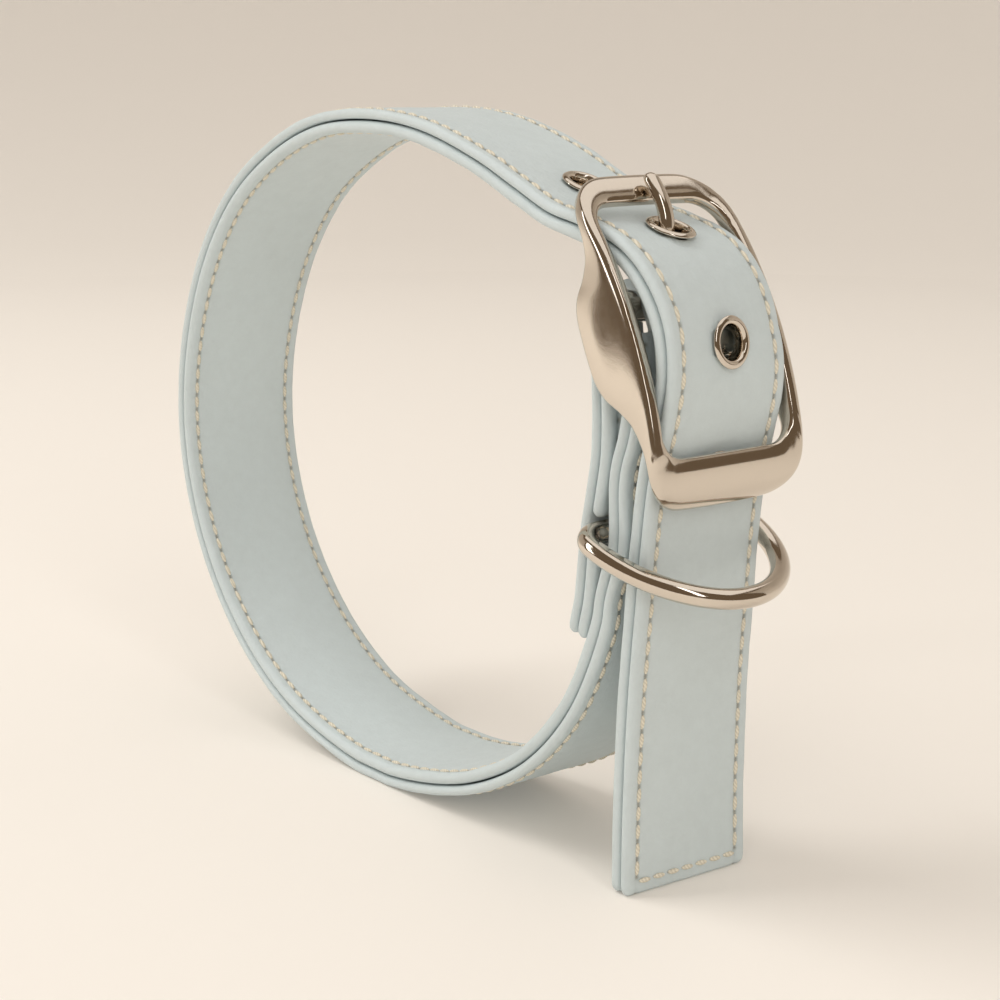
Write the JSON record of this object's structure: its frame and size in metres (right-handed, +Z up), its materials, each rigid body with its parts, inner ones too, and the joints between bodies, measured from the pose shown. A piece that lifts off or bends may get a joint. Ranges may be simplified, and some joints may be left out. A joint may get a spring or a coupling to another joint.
{
  "type": "dog collar",
  "caption": "Fastened dog collar of two stitched leather layers, with a cast frame buckle, prong, eyelets and a D-shaped leash ring, standing on its loop and free strap end.",
  "frame": {"origin": "under the middle of the collar's bounding box, on the floor that it stands on", "axes": "+X from the loop towards the buckle and the free strap end, +Y across the strap's width, +Z up"},
  "size_m": [0.1476, 0.0356, 0.1182],
  "materials": {
    "leather": "smooth pale ice-blue leather, satin",
    "lining": "smooth pale ice-blue leather, satin",
    "nickel": "polished nickel plate"
  },
  "bodies": {
    "collar": {"leather_outer": "leather", "leather_lining": "lining", "fold_lining_upper": "lining", "fold_lining_lower": "lining", "buckle": "nickel", "prong": "nickel", "eyelet_1": "nickel", "eyelet_2": "nickel", "eyelet_3": "nickel", "eyelet_4": "nickel"},
    "ring": {"d_ring": "nickel"}
  },
  "joints": [
    {"name": "ring_swing", "type": "hinge", "parent": "collar", "child": "ring", "pos_m": [0.05143, 0, 0.05661], "axis": [0, 1, 0], "range_deg": [-34, 14]}
  ]
}
